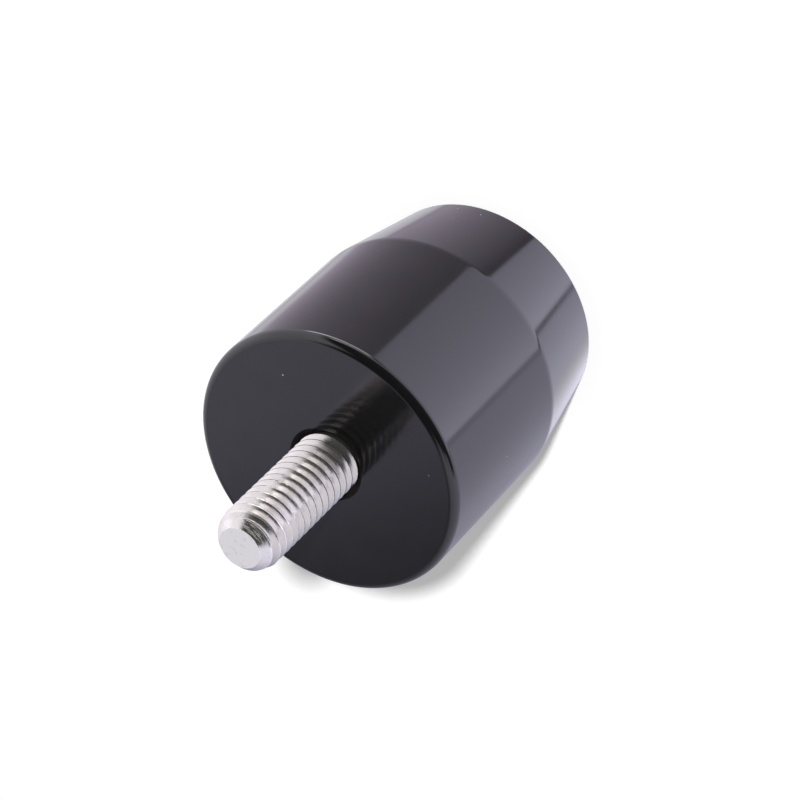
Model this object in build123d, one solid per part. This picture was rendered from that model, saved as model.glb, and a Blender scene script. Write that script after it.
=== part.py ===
from build123d import *
from math import radians, sqrt, tan
import os

# Frame: origin at the centre of the seat face, +Z along the stud, so the body hangs below z = 0
# and stands on its outer end. All lengths in millimetres, all angles in degrees.

# Weight body: one turned piece, a straight barrel and then a gentle taper to the outer end
body_diameter = 33.0
body_length = 36.0
straight_length = 22.5
outer_end_diameter = 28.5

# Edges of the body: rounded rim at the seat, soft change from barrel to taper, small round at the outer end
seat_rim_radius = 1.0
taper_blend_radius = 10.0
outer_rim_radius = 0.6

# Thread that the stud and the body share
thread_major_diameter = 8.0
thread_pitch = 1.25
thread_engagement = 16.0

# Stud end that screws into the handlebar: a slow lead cone, then a steeper point with a flat end
stud_projection = 17.75
lead_length = 1.2
lead_end_diameter = 6.7
point_angle = 90.0
point_flat_diameter = 5.0

# Blind hole in the body: countersunk mouth, threaded stretch, then the drill's run past the stud
countersink_diameter = 9.2
countersink_angle = 90.0
drill_overrun = 3.0
drill_point_angle = 118.0

# Where the stud leaves the body: its full thread starts a little above the seat face, behind a short cone
full_thread_start = 0.3
runout_angle = 90.0

# Thread sizes that follow from the diameter and the pitch of a 60 degree metric thread.
# The engaged threads are drawn as a plain fit at the pitch diameter, where stud and body share the flanks.
thread_height = thread_pitch * sqrt(3) / 2
thread_pitch_diameter = thread_major_diameter - thread_height * 3 / 4
tap_drill_diameter = thread_major_diameter - thread_pitch

# Radii of the body, of its hole and of the stud
barrel_radius = body_diameter / 2
outer_end_radius = outer_end_diameter / 2
countersink_radius = countersink_diameter / 2
stud_radius = thread_major_diameter / 2
engaged_radius = thread_pitch_diameter / 2
drill_radius = tap_drill_diameter / 2
lead_end_radius = lead_end_diameter / 2
point_flat_radius = point_flat_diameter / 2

# Heights along the axis
countersink_slope = tan(radians(countersink_angle / 2))
countersink_floor = -(countersink_radius - engaged_radius) / countersink_slope
runout_start = full_thread_start - (stud_radius - engaged_radius) / tan(radians(runout_angle / 2))
stud_inner_end = countersink_floor - thread_engagement
drill_bottom = stud_inner_end - drill_overrun
drill_tip = drill_bottom - drill_radius / tan(radians(drill_point_angle / 2))
point_start = stud_projection - (lead_end_radius - point_flat_radius) / tan(radians(point_angle / 2))
lead_start = point_start - lead_length


def half_section(points):
    """Flat half section, radius across and height up, from the corners of its outline."""
    return make_face(Polyline(*points, close=True))


def round_corner(section, corner, radius):
    """The section with the one corner at that place rounded."""
    nearest = section.vertices().sort_by_distance(corner)[0]
    return fillet(nearest, radius)


def turned(section):
    """Solid of revolution about the Z axis from a half section."""
    return revolve(Plane.XZ * section, Axis.Z)


def weight_body():
    """Barrel and taper as one half section, with the blind stud hole open at the seat face."""
    seat_rim = (barrel_radius, 0)
    taper_start = (barrel_radius, -straight_length)
    outer_rim = (outer_end_radius, -body_length)
    outline = half_section([
        (0, drill_tip),
        (drill_radius, drill_bottom),
        (drill_radius, stud_inner_end),
        (engaged_radius, stud_inner_end),
        (engaged_radius, countersink_floor),
        (countersink_radius, 0),
        seat_rim,
        taper_start,
        outer_rim,
        (0, -body_length),
    ])
    outline = round_corner(outline, seat_rim, seat_rim_radius)
    outline = round_corner(outline, taper_start, taper_blend_radius)
    outline = round_corner(outline, outer_rim, outer_rim_radius)
    return turned(outline)


def threaded_stud():
    """Stud at its major diameter outside the body and at its pitch diameter where it is screwed in."""
    outline = half_section([
        (0, stud_inner_end),
        (engaged_radius, stud_inner_end),
        (engaged_radius, runout_start),
        (stud_radius, full_thread_start),
        (stud_radius, lead_start),
        (lead_end_radius, point_start),
        (point_flat_radius, stud_projection),
        (0, stud_projection),
    ])
    return turned(outline)


os.makedirs("parts", exist_ok=True)
export_step(weight_body(), "parts/weight_body.step")
export_step(threaded_stud(), "parts/threaded_stud.step")
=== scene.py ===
import logging
import math
from dataclasses import dataclass, field
from enum import Enum
from typing import Any

import bpy
import numpy as np
from mathutils import Matrix, Vector


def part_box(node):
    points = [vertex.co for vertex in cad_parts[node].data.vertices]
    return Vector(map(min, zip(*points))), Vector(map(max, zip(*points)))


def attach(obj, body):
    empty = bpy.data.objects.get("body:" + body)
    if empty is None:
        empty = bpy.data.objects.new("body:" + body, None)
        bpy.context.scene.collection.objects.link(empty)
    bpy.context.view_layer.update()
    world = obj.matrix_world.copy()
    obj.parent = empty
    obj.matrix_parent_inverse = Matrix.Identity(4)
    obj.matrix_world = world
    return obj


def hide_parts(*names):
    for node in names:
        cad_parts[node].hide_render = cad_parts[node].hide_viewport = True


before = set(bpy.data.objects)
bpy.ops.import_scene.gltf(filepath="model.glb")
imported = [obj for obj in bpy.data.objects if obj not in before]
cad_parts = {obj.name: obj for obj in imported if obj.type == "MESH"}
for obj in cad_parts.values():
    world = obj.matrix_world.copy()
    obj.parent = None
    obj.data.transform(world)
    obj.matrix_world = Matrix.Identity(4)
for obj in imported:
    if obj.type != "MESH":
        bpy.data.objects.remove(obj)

LOG = logging.getLogger("bar_end_weight")
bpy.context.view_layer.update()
BODY = "root"
MM = 0.001

# Radius where the stud and its hole meet, half of the thread's pitch diameter
ENGAGED_RADIUS = 3.594 * MM

# Elevations in degrees between which a sheet of the light tent changes its level
LEVEL_SPAN = (-45.0, 45.0)

Colour = tuple[float, float, float, float]
Span = tuple[float, float]


class Node(str, Enum):
    """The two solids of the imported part."""

    WEIGHT = "weight_body"
    STUD = "threaded_stud"


class Slot(str, Enum):
    """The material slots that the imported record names."""

    COATING = "black_coating"
    STEEL = "stud_steel"


# Meshes

@dataclass
class Meridian:
    """Half outline of a turned piece.

    It holds the points (radius, height) and the surface normal at both ends of each stretch between them.
    """

    points: np.ndarray
    normals_from: np.ndarray
    normals_to: np.ndarray

    @classmethod
    def rounded(cls, corners: list[Span], radii: dict[int, float], arc_steps: int) -> "Meridian":
        """Outline of straight stretches whose named corners are replaced by tangent arcs.

        An arc of radius R at a corner that turns by t starts R tan(t / 2) before it. Its points and normals
        follow from turning the first stretch's normal by even shares of t about the arc's centre.

        Args:
            corners: points (radius, height) of the sharp outline, with the metal on the left of the way.
            radii: arc radius for the index of each rounded corner.
            arc_steps: stretches that each arc is drawn with.

        Returns:
            The outline with exact normals, sharp at the corners that have no arc.
        """
        knots = np.array(corners, float)
        way = np.diff(knots, axis=0)
        way /= np.linalg.norm(way, axis=1, keepdims=True)
        outward = np.stack([way[:, 1], -way[:, 0]], axis=1)
        points: list[np.ndarray] = [knots[:1]]
        starts: list[np.ndarray] = []
        ends: list[np.ndarray] = []
        for index in range(1, len(knots)):
            before = outward[index - 1]
            arc = np.array([knots[index]])
            turned = np.array([before])
            if index in radii:
                after = outward[index]
                turn = math.atan2(before[0] * after[1] - before[1] * after[0], before @ after)
                share = np.linspace(0.0, turn, arc_steps + 1)
                cos, sin = np.cos(share), np.sin(share)
                turned = np.stack(
                    [before[0] * cos - before[1] * sin, before[0] * sin + before[1] * cos], axis=1
                )
                side = math.copysign(radii[index], turn)
                setback = radii[index] * math.tan(abs(turn) / 2)
                centre = knots[index] - way[index - 1] * setback - side * before
                arc = centre + side * turned
            points.append(arc)
            starts.extend([before[None], turned[:-1]])
            ends.extend([before[None], turned[1:]])
        return cls(np.vstack(points), np.vstack(starts), np.vstack(ends))


def put_mesh(name: str, points: np.ndarray, faces: list[list[int]]) -> bpy.types.Object:
    """New mesh object at the origin, smooth shaded and linked to the scene.

    Args:
        name: name of the piece.
        points: vertex places in metres, one row each.
        faces: vertex indices of each face, counter-clockwise from outside.

    Returns:
        The object.
    """
    mesh = bpy.data.meshes.new(name)
    mesh.from_pydata(points, [], faces)
    mesh.polygons.foreach_set("use_smooth", np.ones(len(mesh.polygons), bool))
    mesh.update()
    piece = bpy.data.objects.new(name, mesh)
    bpy.context.scene.collection.objects.link(piece)
    return piece


def ring_piece(
    name: str, radius: np.ndarray, height: np.ndarray, turn: np.ndarray, ends: Span
) -> bpy.types.Object:
    """Closed piece of rings round the axis: radius r, height z and angle a give (r cos a, r sin a, z).

    Args:
        name: name of the piece.
        radius: radii, one row for each ring, with one column for all angles or one for each.
        height: ring heights, as a column.
        turn: angles, as a row, in radians.
        ends: heights on the axis of the points that close the first and the last ring.

    Returns:
        The piece, with the faces between rings first, then those of the first end and of the last.
    """
    rows, columns = len(height), turn.size
    rings = np.empty((rows, columns, 3))
    rings[..., 0] = radius * np.cos(turn)
    rings[..., 1] = radius * np.sin(turn)
    rings[..., 2] = height
    points = np.vstack([rings.reshape(-1, 3), [[0.0, 0.0, end] for end in ends]])
    first_pole = rows * columns
    grid = np.arange(first_pole).reshape(rows, columns)
    grid = np.concatenate([grid, grid[:, :1]], axis=1)
    quads = np.stack([grid[:-1, :-1], grid[:-1, 1:], grid[1:, 1:], grid[1:, :-1]], axis=-1).reshape(-1, 4)
    first_cap = np.stack([np.full(columns, first_pole), grid[0, 1:], grid[0, :-1]], axis=-1)
    last_cap = np.stack([np.full(columns, first_pole + 1), grid[-1, :-1], grid[-1, 1:]], axis=-1)
    return put_mesh(name, points, quads.tolist() + first_cap.tolist() + last_cap.tolist())


def turned_piece(name: str, meridian: Meridian, columns: int) -> bpy.types.Object:
    """Surface of revolution of an outline.

    Args:
        name: name of the piece.
        meridian: outline that starts and ends on the axis.
        columns: number of points round the axis.

    Returns:
        A closed piece whose corner normals are the outline's own, turned by the same angle.
    """
    angle = np.linspace(0.0, 2.0 * np.pi, columns, endpoint=False)
    inner = meridian.points[1:-1]
    ends = (meridian.points[0, 1], meridian.points[-1, 1])
    piece = ring_piece(name, inner[:, :1], inner[:, 1:], angle, ends)

    turn = np.append(angle, 2.0 * np.pi)
    here, there, middle = turn[:-1], turn[1:], (turn[:-1] + turn[1:]) / 2

    def swung(normals: np.ndarray, at: np.ndarray) -> np.ndarray:
        """Outline normals (stretches, 2) turned to each angle, as (stretches, angles, 3)."""
        flat = np.broadcast_to(normals[:, 1:], (len(normals), len(at)))
        return np.stack([normals[:, :1] * np.cos(at), normals[:, :1] * np.sin(at), flat], axis=-1)

    near, far = meridian.normals_from[1:-1], meridian.normals_to[1:-1]
    sides = np.stack([swung(near, here), swung(near, there), swung(far, there), swung(far, here)], axis=2)
    first, last = meridian.normals_to[:1], meridian.normals_from[-1:]
    first_cap = np.stack([swung(first, middle), swung(first, there), swung(first, here)], axis=2)
    last_cap = np.stack([swung(last, middle), swung(last, here), swung(last, there)], axis=2)
    corner_normals = np.vstack([sides.reshape(-1, 3), first_cap.reshape(-1, 3), last_cap.reshape(-1, 3)])
    piece.data.normals_split_custom_set(corner_normals)
    return piece


# Shader wiring

class Wiring:
    """Adds nodes to one shader tree and joins them, so that a material reads as a list of steps."""

    def __init__(self, tree: bpy.types.NodeTree) -> None:
        """Start on an existing tree."""
        self.tree = tree

    def add(self, kind: str, inputs: dict[str | int, Any] | None = None, **settings: Any) -> bpy.types.Node:
        """One node of the given kind.

        Args:
            kind: Blender's type name of the node.
            inputs: value, or socket to join, for inputs by name or number.
            settings: the node's own settings.

        Returns:
            The node.
        """
        node = self.tree.nodes.new(kind)
        for setting, value in settings.items():
            setattr(node, setting, value)
        for key, value in (inputs or {}).items():
            self.feed(node.inputs[key], value)
        return node

    def feed(self, socket: bpy.types.NodeSocket, value: Any) -> None:
        """Join a socket to an input, or set the input's own value.

        Args:
            socket: the input.
            value: the socket to join, or the value to set.
        """
        if isinstance(value, bpy.types.NodeSocket):
            self.tree.links.new(value, socket)
        else:
            socket.default_value = value

    def math(self, operation: str, *values: Any) -> bpy.types.NodeSocket:
        """Result of one Math node."""
        return self.add("ShaderNodeMath", dict(enumerate(values)), operation=operation).outputs[0]

    def ramp(
        self, value: Any, span: Span, to: Span = (0.0, 1.0), smooth: bool = False
    ) -> bpy.types.NodeSocket:
        """Value mapped from one span to another and held at its ends.

        Args:
            value: the number or socket to map.
            span: values that become the two ends of the result. They may run downwards.
            to: the two ends of the result.
            smooth: whether the way between them is an S curve instead of straight.

        Returns:
            Socket with the mapped value.
        """
        kind = "SMOOTHSTEP" if smooth else "LINEAR"
        inputs = {"Value": value, "From Min": span[0], "From Max": span[1], "To Min": to[0], "To Max": to[1]}
        return self.add("ShaderNodeMapRange", inputs, interpolation_type=kind, clamp=True).outputs["Result"]

    # A Mix node's sockets go by number: 0 is the share, 2 and 3 are its numbers, 6 and 7 its colours

    def blend(self, share: Any, low: Any, high: Any) -> bpy.types.NodeSocket:
        """Number between low and high by a share from 0 to 1."""
        return self.add("ShaderNodeMix", {0: share, 2: low, 3: high}, data_type="FLOAT").outputs[0]

    def tint(self, share: Any, low: Any, high: Any) -> bpy.types.NodeSocket:
        """Colour between low and high by a share from 0 to 1."""
        return self.add("ShaderNodeMix", {0: share, 6: low, 7: high}, data_type="RGBA").outputs[2]

    def effect(self, kind: "type[Effect]", **inputs: Any) -> bpy.types.NodeSocket:
        """Output of a shared effect's node group, placed here with its own values."""
        return self.add("ShaderNodeGroup", inputs, node_tree=kind.group()).outputs[0]


def rgb(red: float, green: float, blue: float) -> Colour:
    """Opaque linear colour."""
    return (red, green, blue, 1.0)


def grey(level: float) -> Colour:
    """Opaque linear grey."""
    return rgb(level, level, level)


class Effect:
    """A look that materials share: a node group, built once and placed in each with its own values."""

    name: str
    settings: tuple[str, ...]
    result: str

    @classmethod
    def group(cls) -> bpy.types.NodeTree:
        """The group, made on first use.

        Returns:
            Group with the input Vector, one number for each setting, and the result as its output.
        """
        made = bpy.data.node_groups.get(cls.name)
        if made:
            return made
        tree = bpy.data.node_groups.new(cls.name, "ShaderNodeTree")
        tree.interface.new_socket("Vector", in_out="INPUT", socket_type="NodeSocketVector")
        for label in cls.settings:
            tree.interface.new_socket(label, in_out="INPUT", socket_type="NodeSocketFloat")
        tree.interface.new_socket(cls.result, in_out="OUTPUT", socket_type="NodeSocketFloat")
        wire = Wiring(tree)
        given = wire.add("NodeGroupInput").outputs
        wire.add("NodeGroupOutput", {cls.result: cls.pattern(wire, given)})
        return tree

    @classmethod
    def pattern(cls, wire: Wiring, given: bpy.types.NodeOutputs) -> bpy.types.NodeSocket:
        """The pattern itself, which each effect makes in its own way."""
        raise NotImplementedError


class Specks(Effect):
    """Small scattered spots of settled dust."""

    name = "scattered_specks"
    settings = ("Scale", "Share", "Size")
    result = "Mask"
    least_size = 0.35

    @classmethod
    def pattern(cls, wire: Wiring, given: bpy.types.NodeOutputs) -> bpy.types.NodeSocket:
        """Spots in the cells of a cell pattern.

        The pattern gives every spot a place and random numbers. A spot shows where the first number is under
        Share, and its radius in cells is Size times the sum of the second number and the least size.

        Args:
            wire: wiring of the group.
            given: the group's inputs.

        Returns:
            Mask that is 1 on a spot and 0 beside it.
        """
        cells = wire.add("ShaderNodeTexVoronoi", {"Vector": given["Vector"], "Scale": given["Scale"]})
        chance = wire.add("ShaderNodeSeparateColor", {"Color": cells.outputs["Color"]}).outputs
        shown = wire.math("LESS_THAN", chance["Red"], given["Share"])
        radius = wire.math("MULTIPLY", given["Size"], wire.math("ADD", chance["Green"], cls.least_size))
        inside = wire.math("LESS_THAN", cells.outputs["Distance"], radius)
        return wire.math("MULTIPLY", shown, inside)


class Mottle(Effect):
    """Soft uneven tone, for a finish that is nowhere quite the same."""

    name = "uneven_tone"
    settings = ("Scale", "Low", "High")
    result = "Value"
    detail = 4.0
    usual_noise = (0.3, 0.7)

    @classmethod
    def pattern(cls, wire: Wiring, given: bpy.types.NodeOutputs) -> bpy.types.NodeSocket:
        """Noise whose usual range is spread from Low to High.

        Args:
            wire: wiring of the group.
            given: the group's inputs.

        Returns:
            The uneven value.
        """
        inputs = {"Vector": given["Vector"], "Scale": given["Scale"], "Detail": cls.detail}
        noise = wire.add("ShaderNodeTexNoise", inputs).outputs["Fac"]
        return wire.blend(wire.ramp(noise, cls.usual_noise), given["Low"], given["High"])


# Finishes

def new_material(name: str) -> tuple[bpy.types.Material, Wiring, bpy.types.Node]:
    """Empty node material with a Principled shader.

    Args:
        name: name of the finish.

    Returns:
        The material, the wiring of its tree and the shader node.
    """
    material = bpy.data.materials.new(name)
    material.use_nodes = True
    wire = Wiring(material.node_tree)
    shader = next(node for node in material.node_tree.nodes if node.type == "BSDF_PRINCIPLED")
    return material, wire, shader


@dataclass(frozen=True)
class GlossBlack:
    """Smooth black coating with a deep gloss and a little settled dust."""

    colour: Colour = rgb(0.0045, 0.0042, 0.0048)
    gloss_index: float = 1.7
    roughness: Span = (0.10, 0.13)
    mottle_scale: float = 260.0
    dust_colour: Colour = rgb(0.4, 0.4, 0.41)
    dust_roughness: float = 0.8
    dust_scale: float = 420.0
    dust_share: float = 0.5
    dust_size: float = 0.032

    def material(self) -> bpy.types.Material:
        """The finish as a node material on object coordinates.

        Returns:
            The material.
        """
        material, wire, shader = new_material("gloss_black_coating")
        place = wire.add("ShaderNodeTexCoord").outputs["Object"]
        dust = wire.effect(
            Specks, Vector=place, Scale=self.dust_scale, Share=self.dust_share, Size=self.dust_size
        )
        smooth, dull = self.roughness
        tone = wire.effect(Mottle, Vector=place, Scale=self.mottle_scale, Low=smooth, High=dull)
        wire.feed(shader.inputs["Base Color"], wire.tint(dust, self.colour, self.dust_colour))
        wire.feed(shader.inputs["Roughness"], wire.blend(dust, tone, self.dust_roughness))
        wire.feed(shader.inputs["IOR"], self.gloss_index)
        return material


@dataclass(frozen=True)
class PaintedShadeHole:
    """Painted shade in the threaded hole and its countersink: a dull black of low gloss that darkens the
    recess.
    """

    colour: Colour = rgb(0.006, 0.0052, 0.0046)
    stain_colour: Colour = rgb(0.010, 0.008, 0.0065)
    gloss_index: float = 1.3
    roughness: Span = (0.45, 0.65)
    stain_scale: float = 500.0

    def material(self) -> bpy.types.Material:
        """The finish as a node material on object coordinates.

        Returns:
            The material.
        """
        # Painted shade: the hole and countersink get a dull, low-gloss black that darkens them as shade would
        material, wire, shader = new_material("painted_shade_stud_hole")
        place = wire.add("ShaderNodeTexCoord").outputs["Object"]
        # Uneven tone across the painted shade of the hole
        stain = wire.effect(Mottle, Vector=place, Scale=self.stain_scale, Low=0.0, High=1.0)
        wire.feed(shader.inputs["Base Color"], wire.tint(stain, self.colour, self.stain_colour))
        wire.feed(shader.inputs["Roughness"], wire.blend(stain, *self.roughness))
        wire.feed(shader.inputs["IOR"], self.gloss_index)
        return material


@dataclass(frozen=True)
class BareSteel:
    """Bright bare steel of a rolled thread, finely grained all over.

    Its cone has turning marks, and its flat point is dull and scuffed. Heights of the relief are in metres.
    """

    colour: Colour = rgb(0.88, 0.86, 0.815)
    stain_colour: Colour = rgb(0.82, 0.79, 0.75)
    sheen_share: float = 0.97
    roughness: Span = (0.15, 0.24)
    stain_scale: float = 700.0
    grain_scale: float = 5000.0
    grain_height: float = 0.004 * MM
    groove_edge: Span = (0.45, 0.8)
    groove_sheen_share: float = 0.78
    groove_roughness: float = 0.35
    groove_scale: float = 900.0
    groove_squeeze: float = 12.0
    point_colour: Colour = rgb(0.77, 0.75, 0.785)
    scuff_colour: Colour = rgb(0.68, 0.66, 0.68)
    point_sheen_share: float = 0.2
    point_roughness: float = 0.45
    scuff_scale: float = 1500.0
    scuff_edge: Span = (0.0, 0.35)
    scuff_height: float = 0.012 * MM
    relief_unit: float = 1.0

    def material(self, cone_height: float, point_height: float, fade: float) -> bpy.types.Material:
        """The finish as a node material on object coordinates.

        Args:
            cone_height: height in metres where the cone of the point starts, which has turning marks.
            point_height: height in metres of the flat point, which is duller than the thread.
            fade: height in metres over which one finish gives way to the next.

        Returns:
            The material.
        """
        material, wire, shader = new_material("bare_stud_steel")
        place = wire.add("ShaderNodeTexCoord").outputs["Object"]
        height = wire.add("ShaderNodeSeparateXYZ", {"Vector": place}).outputs["Z"]
        on_cone = wire.ramp(height, (cone_height, cone_height + fade))
        at_point = wire.ramp(height, (point_height - fade, point_height), smooth=True)
        stain = wire.effect(Mottle, Vector=place, Scale=self.stain_scale, Low=0.0, High=1.0)
        patches = wire.effect(Mottle, Vector=place, Scale=self.scuff_scale, Low=0.0, High=1.0)
        scuff = wire.ramp(patches, self.scuff_edge, (1.0, 0.0))
        squeeze = (1.0, 1.0, self.groove_squeeze)
        rings = wire.add("ShaderNodeMapping", {"Vector": place, "Scale": squeeze}).outputs["Vector"]
        groove = wire.effect(Mottle, Vector=rings, Scale=self.groove_scale, Low=0.0, High=1.0)
        grooved = wire.math("MULTIPLY", wire.ramp(groove, self.groove_edge), on_cone)
        thread_tone = wire.tint(stain, self.colour, self.stain_colour)
        point_tone = wire.tint(scuff, self.point_colour, self.scuff_colour)
        wire.feed(shader.inputs["Base Color"], wire.tint(at_point, thread_tone, point_tone))
        rough = wire.blend(grooved, wire.blend(stain, *self.roughness), self.groove_roughness)
        wire.feed(shader.inputs["Roughness"], wire.blend(at_point, rough, self.point_roughness))
        sheen = wire.blend(grooved, self.sheen_share, self.groove_sheen_share)
        wire.feed(shader.inputs["Metallic"], wire.blend(at_point, sheen, self.point_sheen_share))
        dents = wire.math("MULTIPLY", scuff, at_point)
        grain = wire.effect(Mottle, Vector=place, Scale=self.grain_scale, Low=0.0, High=self.grain_height)
        relief = wire.math("MULTIPLY_ADD", dents, -self.scuff_height, grain)
        bump = wire.add("ShaderNodeBump", {"Height": relief, "Distance": self.relief_unit})
        wire.feed(shader.inputs["Normal"], bump.outputs["Normal"])
        return material


# The part

@dataclass
class WeightBody:
    """Turned weight: barrel, taper, rounded rims and the countersunk stud hole, in metres and degrees.

    The blend from barrel to taper is tighter than the solid's, which moves the surface by 0.014 mm at most,
    because reflections break sharply there. The wall of the countersink leans by 45 degrees.
    """

    straight_length: float = 22.5 * MM
    outer_end_radius: float = 14.25 * MM
    seat_rim_radius: float = 1.0 * MM
    taper_blend_radius: float = 6.0 * MM
    outer_rim_radius: float = 0.6 * MM
    countersink_radius: float = 4.6 * MM
    bore_radius: float = ENGAGED_RADIUS
    drill_radius: float = 3.375 * MM
    drill_overrun: float = 3.0 * MM
    drill_point_angle: float = 118.0
    columns: int = 256
    arc_steps: int = 12
    finish: GlossBlack = field(default_factory=GlossBlack)
    hole_shade: PaintedShadeHole = field(default_factory=PaintedShadeHole)

    def build(self) -> bpy.types.Object:
        """The body as one closed turned piece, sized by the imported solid.

        Returns:
            The piece, which shows in place of the solid.
        """
        low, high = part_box(Node.WEIGHT.value)
        radius, bottom, seat = high.x, low.z, high.z
        stud_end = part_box(Node.STUD.value)[0].z
        floor_of_countersink = seat - (self.countersink_radius - self.bore_radius)
        corners = [
            (0.0, bottom),
            (self.outer_end_radius, bottom),
            (radius, seat - self.straight_length),
            (radius, seat),
            (self.countersink_radius, seat),
            (self.bore_radius, floor_of_countersink),
            (self.bore_radius, stud_end),
            (self.drill_radius, stud_end),
            (self.drill_radius, stud_end - self.drill_overrun),
            (0.0, self.drill_tip()),
        ]
        outer_rim, taper_start, seat_rim = 1, 2, 3
        radii = {
            outer_rim: self.outer_rim_radius,
            taper_start: self.taper_blend_radius,
            seat_rim: self.seat_rim_radius,
        }
        outline = Meridian.rounded(corners, radii, self.arc_steps)
        piece = turned_piece("coated_weight", outline, self.columns)
        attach(piece, BODY)
        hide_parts(Node.WEIGHT.value)
        return piece

    def drill_tip(self) -> float:
        """Height of the lowest point of the stud hole, where the drill's cone ends."""
        cone = self.drill_radius / math.tan(math.radians(self.drill_point_angle / 2.0))
        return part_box(Node.STUD.value)[0].z - self.drill_overrun - cone

    def dress(self, piece: bpy.types.Object) -> None:
        """Give the body its coating, and the faces inside the countersink's edge the painted shade of the
        hole.

        Args:
            piece: the body that build made.
        """
        piece.data.materials.append(self.finish.material())
        # The second material is the painted shade of the hole and countersink
        piece.data.materials.append(self.hole_shade.material())
        centres = np.empty(len(piece.data.polygons) * 3)
        piece.data.polygons.foreach_get("center", centres)
        x, y, z = centres.reshape(-1, 3).T
        # Faces in the hole and countersink take the painted shade
        inside = (np.hypot(x, y) < self.countersink_radius) & (z > self.drill_tip())
        piece.data.polygons.foreach_set("material_index", inside.astype(np.int32))


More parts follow.
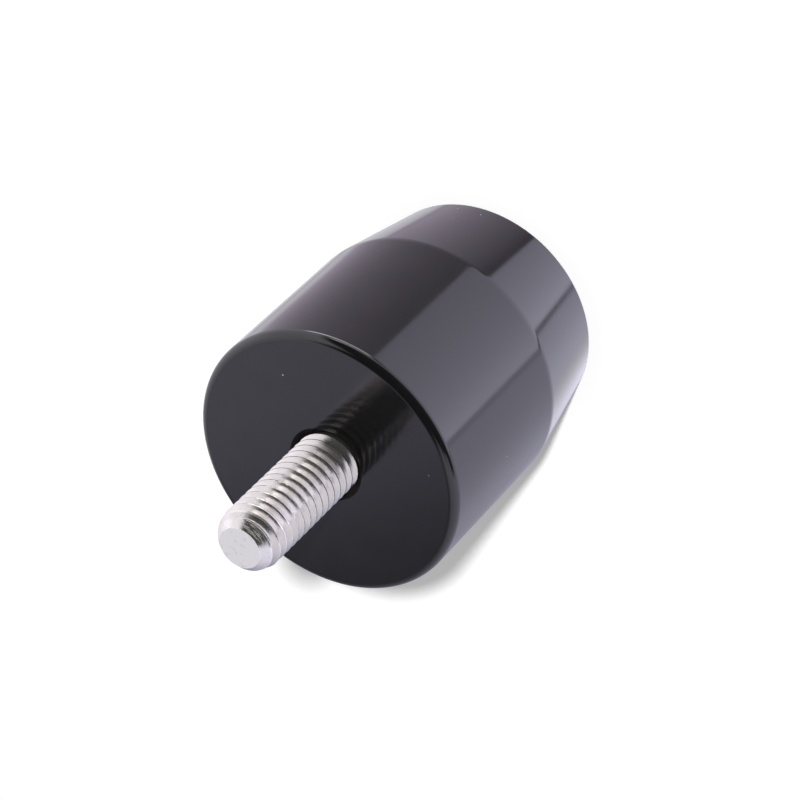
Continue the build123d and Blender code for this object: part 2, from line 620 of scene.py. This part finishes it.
@dataclass
class ThreadedStud:
    """Stud with a real right-hand thread whose last turns fade into the point, in metres.

    The thread's crests lie a little inside the solid, which has the full major diameter.
    """

    crest_radius: float = 3.83 * MM
    pitch: float = 1.25 * MM
    crest_height: float = -0.08 * MM
    crest_flat: float = 0.12 * MM
    root_round: float = 0.18 * MM
    thread_bottom: float = -1.0 * MM
    thread_fade: float = 0.3 * MM
    shank_radius: float = ENGAGED_RADIUS
    shank_rings: int = 2
    point_flat_radius: float = 2.5 * MM
    lead_radius: float = 3.35 * MM
    lead_length: float = 1.2 * MM
    rows_in_pitch: int = 32
    columns: int = 144
    slope_steps_in_pitch: float = 1000.0
    normal_inset: float = 0.2
    finish_fade: float = 0.05 * MM
    finish: BareSteel = field(default_factory=BareSteel)

    def depth_at(self, t: np.ndarray) -> np.ndarray:
        """Depth of the thread under its crest at the distance t from the crest line.

        Nothing on the crest's flat, then the straight flank of a 60 degree thread, which is the root of 3
        times the distance from the flat, then the arc of the rounded root, which the flank meets as a
        tangent.

        Args:
            t: distance along the axis, up to half a pitch.

        Returns:
            Depths in the shape of t.
        """
        steep = math.sqrt(3.0)
        flank = np.maximum(t - self.crest_flat / 2.0, 0.0) * steep
        arc_reach = self.root_round * steep / 2.0
        arc_top = (self.pitch / 2.0 - arc_reach - self.crest_flat / 2.0) * steep
        from_root = np.minimum(self.pitch / 2.0 - t, arc_reach)
        arc = arc_top - self.root_round / 2.0 + np.sqrt(self.root_round ** 2 - from_root ** 2)
        return np.where(self.pitch / 2.0 - t < arc_reach, arc, flank)

    def cone_bottom(self, top: float) -> float:
        """Height where the point's own 45 degree cone starts, under a flat point at the height top."""
        return top - (self.lead_radius - self.point_flat_radius)

    def radius_at(self, height: np.ndarray, turn: np.ndarray, top: float) -> np.ndarray:
        """Radius of the thread at a height and an angle.

        The crest line climbs one pitch in a turn, and the distance from it gives the depth. Near the point
        the crests are lower, by a slow cone, and the point's own 45 degree cone cuts what is left.

        Args:
            height: heights, as a column.
            turn: angles, as a row, in radians.
            top: height of the flat point.

        Returns:
            Radii, one row for each height.
        """
        climb = (height - self.crest_height) / self.pitch - turn / (2.0 * np.pi)
        depth = self.depth_at(np.abs((climb + 0.5) % 1.0 - 0.5) * self.pitch)
        lead = np.clip((self.cone_bottom(top) - height) / self.lead_length, 0.0, 1.0)
        crest = self.lead_radius + (self.crest_radius - self.lead_radius) * lead
        cone = self.point_flat_radius + np.maximum(top - height, 0.0)
        return np.minimum(np.minimum(self.crest_radius - depth, crest), cone)

    def normal_at(self, height: np.ndarray, turn: np.ndarray, top: float) -> np.ndarray:
        """Outward unit normals of the thread.

        Where the radius grows at the rate g along the axis and at the rate h round it, the normal is 1
        outward, -h round and -g along the axis, scaled to length 1. Both rates are measured over a small step.

        Args:
            height: heights, as a column.
            turn: angles, as a row, in radians.
            top: height of the flat point.

        Returns:
            Normals in the shape (heights, angles, 3).
        """
        step = self.pitch / self.slope_steps_in_pitch
        radius = self.radius_at(height, turn, top)
        bend = step / self.crest_radius
        along = (self.radius_at(height + step, turn, top) - radius) / step
        around = (self.radius_at(height, turn + bend, top) - radius) / (bend * radius)
        cos, sin = np.cos(turn), np.sin(turn)
        normal = np.stack([cos + around * sin, sin - around * cos, -along], axis=-1)
        return normal / np.linalg.norm(normal, axis=-1, keepdims=True)

    def build(self) -> bpy.types.Object:
        """The stud as one closed surface: buried shank, thread and point, with a pole at each end.

        Returns:
            The piece, which shows in place of the solid.
        """
        low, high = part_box(Node.STUD.value)
        top = high.z
        rows = int(round((top - self.thread_bottom) / self.pitch * self.rows_in_pitch))
        height = np.linspace(self.thread_bottom, top, rows)[:, None]
        shank_height = np.linspace(low.z, self.thread_bottom - self.thread_fade, self.shank_rings)[:, None]
        turn = np.linspace(0.0, 2.0 * np.pi, self.columns, endpoint=False)[None, :]
        shank = np.full((self.shank_rings, self.columns), self.shank_radius)
        radius = np.vstack([shank, self.radius_at(height, turn, top)])
        piece = ring_piece("steel_stud", radius, np.vstack([shank_height, height]), turn, (low.z, top))
        piece.data.normals_split_custom_set(self.corner_normals(height, turn, top))
        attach(piece, BODY)
        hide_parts(Node.STUD.value)
        return piece

    def corner_normals(self, height: np.ndarray, turn: np.ndarray, top: float) -> np.ndarray:
        """Normals for every corner of every face.

        They are taken a little inside the face, by a share of its height and width, so that the edges of the
        thread stay crisp.

        Args:
            height: heights of the thread's rings, as a column.
            turn: angles of their points, as a row, in radians.
            top: height of the flat point.

        Returns:
            One row for each corner: the shank's faces, the thread's, then the two ends.
        """
        inset = self.normal_inset
        rise, swing = height[1, 0] - height[0, 0], turn[0, 1] - turn[0, 0]
        lower, upper = height[:-1] + inset * rise, height[1:] - inset * rise
        near, far = turn + inset * swing, turn + (1.0 - inset) * swing
        corners = ((lower, near), (lower, far), (upper, far), (upper, near))
        thread = np.stack([self.normal_at(level, angle, top) for level, angle in corners], axis=2)
        outward = [np.stack([np.cos(angle), np.sin(angle), 0.0 * angle], axis=-1) for _, angle in corners]
        shank = np.repeat(np.stack(outward, axis=2), self.shank_rings, axis=0)
        ends = np.repeat([[0.0, 0.0, -1.0], [0.0, 0.0, 1.0]], 3 * self.columns, axis=0)
        return np.vstack([shank.reshape(-1, 3), thread.reshape(-1, 3), ends])

    def dress(self, piece: bpy.types.Object) -> None:
        """Give the stud its bare steel.

        Args:
            piece: the stud that build made.
        """
        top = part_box(Node.STUD.value)[1].z
        piece.data.materials.append(self.finish.material(self.cone_bottom(top), top, self.finish_fade))


# The studio

class Paper(Enum):
    """Colour cast of a sheet of the tent."""

    COOL = (0.98, 0.955, 1.18)
    WARM = (1.0, 0.97, 1.06)
    ROSE = (1.02, 0.9, 1.1)
    EVEN = (1.0, 1.0, 1.0)


@dataclass(frozen=True)
class Lamp:
    """Soft round lamp that lights the part without showing in it, by direction in degrees and in metres."""

    name: str
    azimuth: float
    elevation: float
    watts: float
    size: float
    distance: float = 2.4


@dataclass(frozen=True)
class Panel:
    """One sheet of the light tent, by direction in degrees.

    Azimuth 0 is the camera's side, and elevation 90 is up. The level runs from the first edge to the last by
    a power, bow, of the way, and changes by the factor rise over the level span of elevations. The last edge
    is in its place at the elevation upright, and moves back by lean degrees for each degree above it. Under
    the span it stays where it is at the span's low end. The edges fade over the soft widths, across and up.
    """

    name: str
    azimuth: Span
    elevation: Span
    level: Span
    paper: Paper = Paper.COOL
    rise: float = 1.0
    bow: float = 1.0
    lean: float = 0.0
    upright: float = LEVEL_SPAN[0]
    soft: Span = (4.0, 8.0)

    def seen(
        self, wire: Wiring, azimuth: bpy.types.NodeSocket, elevation: bpy.types.NodeSocket
    ) -> tuple[bpy.types.NodeSocket, bpy.types.NodeSocket]:
        """The sheet by direction.

        Args:
            wire: wiring of the world's tree.
            azimuth: direction round the part, in degrees.
            elevation: direction above the level, in degrees.

        Returns:
            Sockets of its mask, a product of one S curve for each edge, and of its colour.
        """
        middle = sum(self.azimuth) / 2.0
        half = (self.azimuth[1] - self.azimuth[0]) / 2.0
        across = wire.math("WRAP", wire.math("SUBTRACT", azimuth, middle), 180.0, -180.0)
        above = wire.math("SUBTRACT", wire.math("MAXIMUM", elevation, LEVEL_SPAN[0]), self.upright)
        leaning = wire.math("MULTIPLY_ADD", above, self.lean, across)
        side, edge = self.soft[0] / 2.0, self.soft[1] / 2.0
        low, high = self.elevation
        mask = wire.ramp(across, (-half - side, -half + side), smooth=True)
        for value, at, reach in ((leaning, half, -side), (elevation, low, edge), (elevation, high, -edge)):
            mask = wire.math("MULTIPLY", mask, wire.ramp(value, (at - reach, at + reach), smooth=True))
        part_way = wire.math("POWER", wire.ramp(across, (-half, half)), self.bow)
        shade = wire.blend(part_way, *self.level)
        shade = wire.math("MULTIPLY", shade, wire.ramp(elevation, LEVEL_SPAN, (1.0, self.rise)))
        sheet = wire.add("ShaderNodeVectorMath", {0: self.paper.value, "Scale": shade}, operation="SCALE")
        return mask, sheet.outputs["Vector"]


# The sheets of the tent, each over those before it
TENT = (
    Panel("left wall", (-190.0, -56.7), (-100.0, 66.0), (0.5, 1.21), rise=0.75, soft=(1.5, 16.0)),
    Panel("far left corner", (-195.0, -135.0), (-100.0, 66.0), (0.15, 0.65), rise=0.55, soft=(30.0, 16.0)),
    Panel("left wall's top", (-132.0, -78.0), (36.0, 66.0), (0.61, 0.82), Paper.WARM, soft=(16.0, 8.0)),
    Panel("low left sheet", (-176.0, -58.0), (-130.0, -51.0), (2.3, 1.35), bow=0.3, soft=(1.5, 14.0)),
    Panel("low left corner", (-176.0, -115.0), (-130.0, -53.0), (2.15, 1.15), Paper.WARM, soft=(40.0, 10.0)),
    Panel("tent's seam", (-61.0, -54.0), (-130.0, -50.0), (0.42, 0.42), soft=(1.5, 6.0)),
    Panel("right wall", (64.0, 172.0), (-42.0, 62.0), (1.15, 0.9), Paper.WARM, rise=0.85, soft=(10.0, 14.0)),
    Panel("right wall's lamp", (108.0, 148.0), (-22.0, 36.0), (1.25, 0.95), Paper.WARM, soft=(24.0, 30.0)),
    Panel("back corner", (174.0, 181.4), (30.0, 58.0), (0.78, 0.54),
          lean=-0.86, upright=44.0, soft=(3.0, 8.0)),
    Panel("camera opening", (-66.0, 62.0), (36.0, 130.0), (0.02, 0.02), Paper.EVEN, soft=(30.0, 30.0)),
    Panel("low right sheet", (20.5, 142.0), (-130.0, -42.0), (0.305, 0.9), Paper.ROSE,
          bow=1.4, soft=(2.0, 2.0)),
    Panel("low back sheet", (140.3, 186.0), (-130.0, -41.0), (1.17, 0.7), Paper.WARM, soft=(4.0, 2.0)),
    Panel("fold of the back sheet", (152.5, 157.0), (-49.0, -38.0), (0.66, 0.66), Paper.WARM,
          soft=(3.0, 3.0)),
    Panel("front sheet", (-55.0, 33.5), (-130.0, 10.0), (2.1, 1.0),
          rise=0.2, bow=0.55, lean=0.9, soft=(1.5, 24.0)),
    Panel("low right corner", (21.5, 140.0), (-130.0, -57.0), (0.05, 0.97), Paper.ROSE,
          bow=0.5, soft=(2.0, 4.0)),
    Panel("fold of the low sheets", (133.6, 136.8), (-80.0, -51.0), (0.62, 0.62), Paper.ROSE,
          soft=(2.0, 4.0)),
    Panel("front sheet's hem", (-59.4, -54.7), (-51.0, 10.0), (0.93, 0.93), soft=(1.5, 4.0)),
    Panel("gap over the table", (-68.0, 40.0), (-7.0, 22.0), (0.06, 0.06), Paper.EVEN, soft=(10.0, 6.0)),
    Panel("front flap", (-4.0, 60.0), (-22.0, -6.0), (0.92, 2.6), Paper.WARM, bow=2.5, soft=(8.0, 6.0)),
    Panel("light strip", (33.0, 84.0), (-40.0, -30.0), (4.8, 4.8), Paper.EVEN, soft=(8.0, 4.0)),
)


@dataclass
class Studio:
    """Light tent, white floor, key lamp and the camera at the photograph's angle, in metres and degrees."""

    camera_distance: float = 361.3 * MM
    camera_elevation: float = 43.97
    camera_roll: float = -134.4
    camera_focal: float = 147.3
    aim: tuple[float, float, float] = (-0.66 * MM, 0.0, -15.54 * MM)
    room_level: float = 0.02
    ambient: float = 0.3
    floor_size: float = 6.0
    floor_colour: Colour = grey(0.9)
    floor_glow: float = 0.19
    lamps: tuple[Lamp, ...] = (Lamp("front", azimuth=7.5, elevation=45.0, watts=57.0, size=0.12),)
    panels: tuple[Panel, ...] = TENT

    def radiance(self, wire: Wiring) -> bpy.types.NodeSocket:
        """Brightness of the tent by direction, panel over panel on a dark room.

        Args:
            wire: wiring of the world's tree.

        Returns:
            Socket with the colour that a gloss surface shows.
        """
        way = wire.add("ShaderNodeTexCoord").outputs["Generated"]
        axis = wire.add("ShaderNodeSeparateXYZ", {"Vector": way}).outputs
        front = wire.math("MULTIPLY", axis["Y"], -1.0)
        azimuth = wire.math("DEGREES", wire.math("ARCTAN2", axis["X"], front))
        elevation = wire.math("DEGREES", wire.math("ARCSINE", axis["Z"]))
        colour: Any = grey(self.room_level)
        for panel in self.panels:
            mask, sheet = panel.seen(wire, azimuth, elevation)
            colour = wire.tint(mask, colour, sheet)
        return colour

    def light(self) -> None:
        """World that gloss surfaces see as the tent and everything else as even white, and the soft lamps."""
        world = bpy.data.worlds.new("light_tent")
        world.use_nodes = True
        wire = Wiring(world.node_tree)
        background = next(node for node in world.node_tree.nodes if node.type == "BACKGROUND")
        ray = wire.add("ShaderNodeLightPath").outputs
        seen = wire.math("MAXIMUM", ray["Is Camera Ray"], ray["Is Transmission Ray"])
        plain = wire.tint(seen, grey(self.ambient), grey(1.0))
        wire.feed(background.inputs["Color"], wire.tint(ray["Is Glossy Ray"], plain, self.radiance(wire)))
        bpy.context.scene.world = world
        for lamp in self.lamps:
            data = bpy.data.lights.new(lamp.name, "AREA")
            data.shape = "DISK"
            data.size = lamp.size
            data.energy = lamp.watts
            light = bpy.data.objects.new(lamp.name, data)
            light.location = self.towards(lamp.azimuth, lamp.elevation) * lamp.distance
            light.rotation_euler = light.location.to_track_quat("Z", "Y").to_euler()
            light.visible_glossy = False
            bpy.context.scene.collection.objects.link(light)

    @staticmethod
    def towards(azimuth: float, elevation: float) -> Vector:
        """Unit direction from the part, by azimuth from its front side and by elevation, in degrees."""
        turn, rise = math.radians(azimuth), math.radians(elevation)
        return Vector((math.cos(rise) * math.sin(turn), -math.cos(rise) * math.cos(turn), math.sin(rise)))

    def floor(self) -> None:
        """White floor under the part: it glows a little for the camera and keeps the part's shadow."""
        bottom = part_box(Node.WEIGHT.value)[0].z
        half = self.floor_size / 2.0
        corners = ((-half, -half), (half, -half), (half, half), (-half, half))
        points = np.array([[x, y, bottom] for x, y in corners])
        piece = put_mesh("floor", points, [[0, 1, 2, 3]])
        material, wire, shader = new_material("white_floor")
        wire.feed(shader.inputs["Base Color"], self.floor_colour)
        wire.feed(shader.inputs["Roughness"], 1.0)
        wire.feed(shader.inputs["Specular IOR Level"], 0.0)
        seen = wire.add("ShaderNodeLightPath").outputs["Is Camera Ray"]
        wire.feed(shader.inputs["Emission Color"], grey(1.0))
        wire.feed(shader.inputs["Emission Strength"], wire.math("MULTIPLY", seen, self.floor_glow))
        piece.data.materials.append(material)
        piece.visible_glossy = False

    def camera(self) -> None:
        """Camera on the part's front side, rolled so that the stud points to the lower left."""
        eye = self.towards(0.0, self.camera_elevation) * self.camera_distance
        level_view = (Vector(self.aim) - eye).to_track_quat("-Z", "Y").to_matrix()
        data = bpy.data.cameras.new("photo_view")
        data.lens = self.camera_focal
        camera = bpy.data.objects.new("photo_view", data)
        turn = Matrix.Rotation(math.radians(self.camera_roll), 3, "Z")
        camera.matrix_world = Matrix.Translation(eye) @ (level_view @ turn).to_4x4()
        bpy.context.scene.collection.objects.link(camera)
        bpy.context.scene.camera = camera


def main() -> None:
    """Build and dress the part's pieces, then the studio round them."""
    bpy.context.scene.view_settings.view_transform = "Standard"
    for maker in (WeightBody(), ThreadedStud()):
        piece = maker.build()
        maker.dress(piece)
        LOG.info("%s: %d faces", piece.name, len(piece.data.polygons))
    studio = Studio()
    studio.floor()
    studio.light()
    studio.camera()


if __name__ == "__main__":
    logging.basicConfig(level=logging.INFO)
    main()
